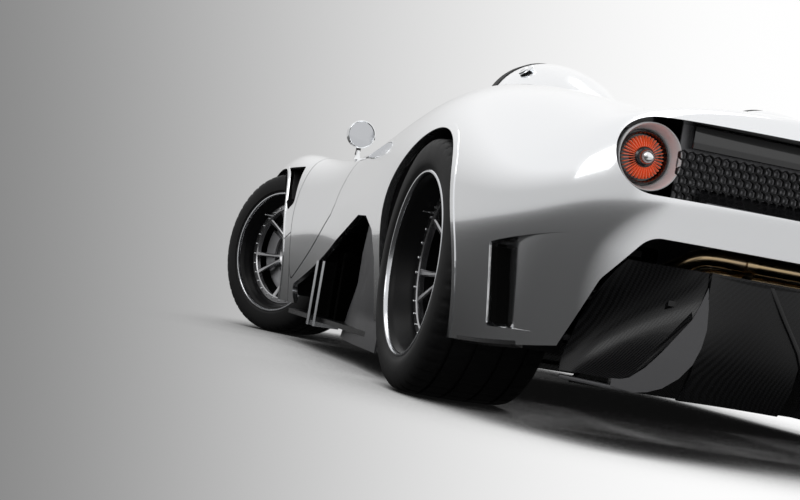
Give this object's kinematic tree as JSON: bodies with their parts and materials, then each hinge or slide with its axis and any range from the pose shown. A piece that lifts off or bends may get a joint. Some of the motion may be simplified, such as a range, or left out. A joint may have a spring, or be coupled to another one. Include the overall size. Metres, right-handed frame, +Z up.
{
  "type": "sports car",
  "caption": "Open two-seat sports car with hinged doors and lids, coupled steering and free-rolling wheels.",
  "frame": {"origin": "on the ground, midway along and across the car", "axes": "+X forward, +Y to the car's left, +Z up"},
  "size_m": [4.4069, 2.1342, 1.1019],
  "materials": {
    "paint": "gloss metallic",
    "carbon": "twill weave under clear coat",
    "plastic": "matt",
    "polished": "polished",
    "red_lens": "clear red",
    "lamp": "clear",
    "glass": "tinted",
    "leather": "fine grain",
    "cast": "machined",
    "hot_metal": "heat tinted",
    "tyre": "matt rubber"
  },
  "bodies": {
    "chassis": {"tub": "carbon", "front_clam": "paint", "rear_clam": "paint", "intake_ducts": "carbon", "undertray": "carbon", "wheel_liners": "plastic", "diffuser": "carbon", "rear_grille": "plastic", "front_grille": "plastic", "taillight_bezels": "polished", "taillight_lenses": "red_lens", "headlights": "lamp", "windscreen": "glass", "fairings": "paint", "roll_hoops": "carbon", "seat_left": "leather", "seat_right": "leather", "dashboard": "plastic", "steering_column": "plastic", "engine": "cast", "exhaust": "hot_metal", "rear_uprights": "cast", "wishbones": "cast", "driveshafts": "cast"},
    "door_left": {"door_left": "paint", "mirror_left": "paint"},
    "door_right": {"door_right": "paint", "mirror_right": "paint"},
    "front_lid": {"front_lid": "paint"},
    "engine_cover": {"engine_cover": "paint"},
    "steering_wheel": {"steering_wheel": "leather"},
    "knuckle_left": {"knuckle_left": "cast"},
    "knuckle_right": {"knuckle_right": "cast"},
    "wheel_fl": {"tyre_fl": "tyre", "rim_fl": "polished"},
    "wheel_fr": {"tyre_fr": "tyre", "rim_fr": "polished"},
    "wheel_rl": {"tyre_rl": "tyre", "rim_rl": "polished"},
    "wheel_rr": {"tyre_rr": "tyre", "rim_rr": "polished"}
  },
  "joints": [
    {"name": "left_door", "type": "hinge", "parent": "chassis", "child": "door_left", "pos_m": [0.7865, 0.942, 0.45], "axis": [0, 0, -1], "range_deg": [0, 60]},
    {"name": "right_door", "type": "hinge", "parent": "chassis", "child": "door_right", "pos_m": [0.7865, -0.942, 0.45], "axis": [0, 0, 1], "range_deg": [0, 60]},
    {"name": "front_lid", "type": "hinge", "parent": "chassis", "child": "front_lid", "pos_m": [1.1125, 0, 0.695], "axis": [0, -1, 0], "range_deg": [0, 55]},
    {"name": "engine_cover", "type": "hinge", "parent": "chassis", "child": "engine_cover", "pos_m": [-1.1275, 0, 0.875], "axis": [0, 1, 0], "range_deg": [0, 55]},
    {"name": "steering", "type": "hinge", "parent": "chassis", "child": "knuckle_left", "pos_m": [1.2825, 0.798, 0.345], "axis": [0, 0, 1], "range_deg": [-65.5, 4.5]},
    {"name": "steering_right", "type": "hinge", "parent": "chassis", "child": "knuckle_right", "pos_m": [1.2825, -0.798, 0.345], "axis": [0, 0, 1], "range_deg": [-65.5, 4.5]},
    {"name": "steering_wheel", "type": "hinge", "parent": "chassis", "child": "steering_wheel", "pos_m": [0.2625, 0.4, 0.64], "axis": [-0.9272, 0, 0.3746], "range_deg": [-786, 54]},
    {"name": "wheel_fl", "type": "hinge", "parent": "knuckle_left", "child": "wheel_fl", "pos_m": [1.2825, 0.798, 0.345], "axis": [-0.5075, 0.8616, 0], "continuous": true},
    {"name": "wheel_fr", "type": "hinge", "parent": "knuckle_right", "child": "wheel_fr", "pos_m": [1.2825, -0.798, 0.345], "axis": [-0.5075, 0.8616, 0], "continuous": true},
    {"name": "wheel_rl", "type": "hinge", "parent": "chassis", "child": "wheel_rl", "pos_m": [-1.2175, 0.81, 0.3545], "axis": [0, 1, 0], "continuous": true},
    {"name": "wheel_rr", "type": "hinge", "parent": "chassis", "child": "wheel_rr", "pos_m": [-1.2175, -0.81, 0.3545], "axis": [0, 1, 0], "continuous": true}
  ],
  "couplings": [
    {"joint": "steering_right", "follows": "steering", "ratio": 1},
    {"joint": "steering_wheel", "follows": "steering", "ratio": 12}
  ]
}
